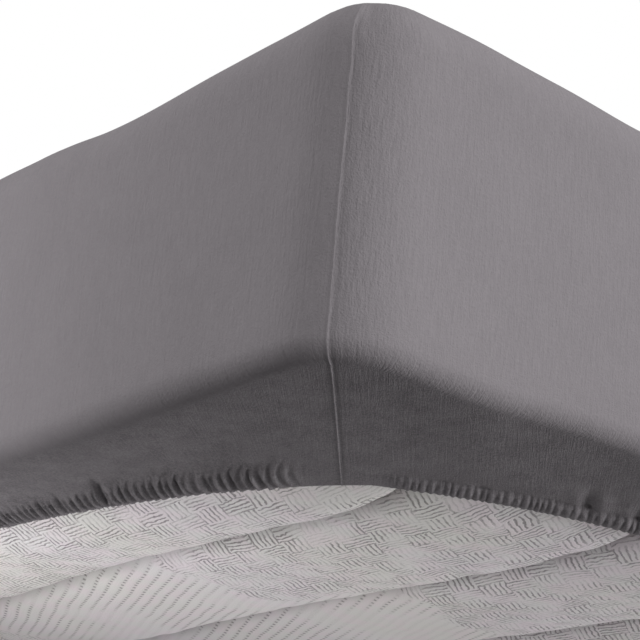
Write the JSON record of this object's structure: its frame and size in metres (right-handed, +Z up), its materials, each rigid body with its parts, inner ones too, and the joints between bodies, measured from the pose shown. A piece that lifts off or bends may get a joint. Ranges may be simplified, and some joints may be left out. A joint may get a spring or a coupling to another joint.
{
  "type": "fitted sheet on a mattress",
  "caption": "Grey jersey fitted sheet with sewn corners and a gathered elastic hem, stretched over a plain single mattress whose underside stays bare inside the hem.",
  "frame": {"origin": "on the surface the mattress lies on, under the middle of the mattress", "axes": "+Z up, +Y along the length towards the head end, +X across the width"},
  "size_m": [1, 2, 0.203],
  "materials": {
    "jersey": "matt knitted cotton jersey, dark grey with a faint warm cast, lightly fuzzed",
    "ticking": "pale warm grey knitted jacquard ticking, softly quilted"
  },
  "bodies": {
    "root": {"fitted_sheet": "jersey", "mattress": "ticking"}
  },
  "joints": []
}
